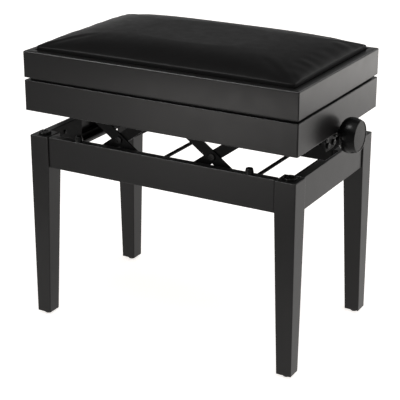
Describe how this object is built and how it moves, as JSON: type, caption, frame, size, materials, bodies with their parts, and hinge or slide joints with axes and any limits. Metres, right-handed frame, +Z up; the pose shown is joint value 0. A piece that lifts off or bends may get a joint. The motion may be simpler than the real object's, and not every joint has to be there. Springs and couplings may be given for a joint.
{
  "type": "piano bench",
  "caption": "Height-adjustable piano bench: padded lid over a sheet-music box, raised on scissor lifts by a spindle with side knobs, on a frame with tapered legs.",
  "frame": {"origin": "on the floor, under the middle of the seat", "axes": "+X along the bench to the right, +Y to the back, +Z up; the front faces -Y"},
  "size_m": [0.635, 0.34, 0.559],
  "materials": {
    "black_wood": "satin",
    "black_board": "matte",
    "black_steel": "satin",
    "bare_steel": "satin",
    "black_rubber": "matte",
    "glide_plastic": "satin",
    "knob_plastic": "satin",
    "cushion_cover": "satin"
  },
  "bodies": {
    "base": {"leg_front_left": "black_wood", "leg_front_right": "black_wood", "leg_back_left": "black_wood", "leg_back_right": "black_wood", "glide_front_left": "glide_plastic", "glide_front_right": "glide_plastic", "glide_back_left": "glide_plastic", "glide_back_right": "glide_plastic", "pad_front_left": "black_rubber", "pad_front_right": "black_rubber", "pad_back_left": "black_rubber", "pad_back_right": "black_rubber", "stop_front_left": "black_rubber", "stop_front_right": "black_rubber", "stop_back_left": "black_rubber", "stop_back_right": "black_rubber", "rail_front": "black_wood", "rail_back": "black_wood", "rail_left": "black_wood", "rail_right": "black_wood", "cross_angle_left": "black_steel", "cross_angle_right": "black_steel", "track_front": "black_steel", "track_back": "black_steel"},
    "left_rising_arms": {"arm_rising_left_front": "black_steel", "arm_rising_left_back": "black_steel", "axle_low_fixed_left": "black_steel", "axle_high_sliding_left": "black_steel"},
    "left_falling_arms": {"arm_falling_left_front": "black_steel", "arm_falling_left_back": "black_steel", "axle_low_sliding_left": "black_steel", "axle_high_fixed_left": "black_steel"},
    "right_rising_arms": {"arm_rising_right_front": "black_steel", "arm_rising_right_back": "black_steel", "axle_low_fixed_right": "black_steel", "axle_high_sliding_right": "black_steel"},
    "right_falling_arms": {"arm_falling_right_front": "black_steel", "arm_falling_right_back": "black_steel", "axle_low_sliding_right": "black_steel", "axle_high_fixed_right": "black_steel"},
    "seat": {"panel_front": "black_wood", "panel_back": "black_wood", "panel_left": "black_wood", "panel_right": "black_wood", "compartment_floor": "black_board", "guide_front": "black_steel", "guide_back": "black_steel", "bracket_left": "black_steel", "bracket_right": "black_steel", "hinge_leaf_box": "bare_steel"},
    "spindle": {"spindle": "bare_steel", "knob_left": "knob_plastic", "knob_right": "knob_plastic"},
    "nut": {"spindle_nut": "bare_steel"},
    "lid": {"lid_border": "black_wood", "lid_board": "black_board", "cushion": "cushion_cover", "hinge_leaf_lid": "bare_steel"}
  },
  "joints": [
    {"name": "lift", "type": "hinge", "parent": "base", "child": "left_rising_arms", "pos_m": [-0.14919, 0, 0.3368], "axis": [0, -1, 0], "range_deg": [-16.8, 28]},
    {"name": "left_falling", "type": "hinge", "parent": "left_rising_arms", "child": "left_falling_arms", "pos_m": [-0.0907, 0, 0.3793], "axis": [0, -1, 0], "range_deg": [-56, 33.6]},
    {"name": "seat_level", "type": "hinge", "parent": "left_falling_arms", "child": "seat", "pos_m": [-0.14919, 0, 0.4218], "axis": [0, -1, 0], "range_deg": [-16.8, 28]},
    {"name": "right_rising", "type": "hinge", "parent": "base", "child": "right_rising_arms", "pos_m": [0.04321, 0, 0.3368], "axis": [0, -1, 0], "range_deg": [-16.8, 28]},
    {"name": "right_falling", "type": "hinge", "parent": "right_rising_arms", "child": "right_falling_arms", "pos_m": [0.1017, 0, 0.3793], "axis": [0, -1, 0], "range_deg": [-56, 33.6]},
    {"name": "nut_level", "type": "hinge", "parent": "right_rising_arms", "child": "nut", "pos_m": [0.16019, 0, 0.4218], "axis": [0, -1, 0], "range_deg": [-28, 16.8]},
    {"name": "knob_turn", "type": "hinge", "parent": "seat", "child": "spindle", "pos_m": [0, 0, 0.411], "axis": [1, 0, 0], "range_deg": [-1646.4, 2744]},
    {"name": "lid_hinge", "type": "hinge", "parent": "seat", "child": "lid", "pos_m": [0, 0.1675, 0.4755], "axis": [-1, 0, 0], "range_deg": [0, 85]}
  ],
  "couplings": [
    {"joint": "left_falling", "follows": "lift", "ratio": -2},
    {"joint": "seat_level", "follows": "lift", "ratio": 1},
    {"joint": "right_rising", "follows": "lift", "ratio": 1},
    {"joint": "right_falling", "follows": "lift", "ratio": -2},
    {"joint": "nut_level", "follows": "lift", "ratio": -1},
    {"joint": "knob_turn", "follows": "lift", "ratio": 98}
  ]
}
